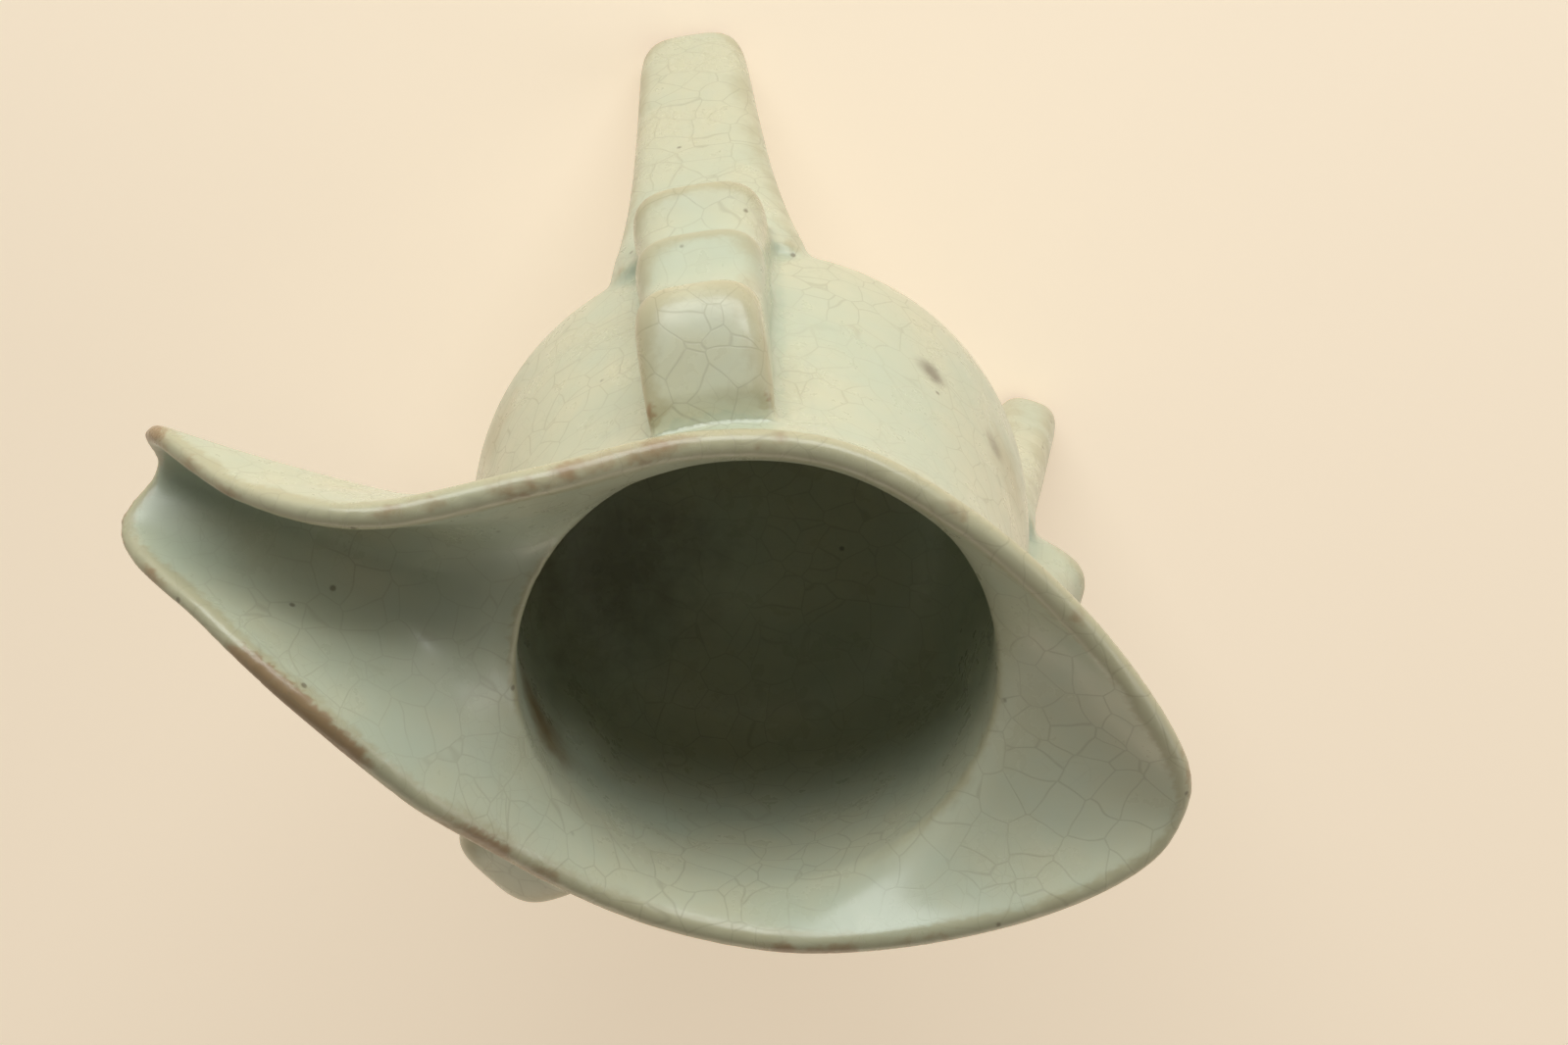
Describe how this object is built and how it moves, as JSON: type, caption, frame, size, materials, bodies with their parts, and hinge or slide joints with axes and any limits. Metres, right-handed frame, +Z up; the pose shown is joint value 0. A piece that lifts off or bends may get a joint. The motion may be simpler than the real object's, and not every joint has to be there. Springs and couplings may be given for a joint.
{
  "type": "tripod pouring cup",
  "caption": "Glazed ceramic libation cup with a long open channel spout, leaf-shaped tail, ribbed shoulder straps and splayed legs.",
  "frame": {"origin": "centre of the footprint, on the plane the three feet stand on", "axes": "+Z up along the cup's axis, +X toward the spout, -X toward the tail, mirror-symmetric in Y"},
  "size_m": [0.137, 0.0994, 0.1398],
  "materials": {
    "celadon_glaze": "glossy pale grey-green celadon glaze with fine crackle, brown where it thins at rims and ribs"
  },
  "bodies": {
    "root": {"cup_wall": "celadon_glaze", "turned_base": "celadon_glaze", "spout": "celadon_glaze", "tail": "celadon_glaze", "shoulder_left": "celadon_glaze", "shoulder_right": "celadon_glaze", "shoulder_rear": "celadon_glaze", "leg_left": "celadon_glaze", "leg_right": "celadon_glaze", "leg_rear": "celadon_glaze"}
  },
  "joints": []
}
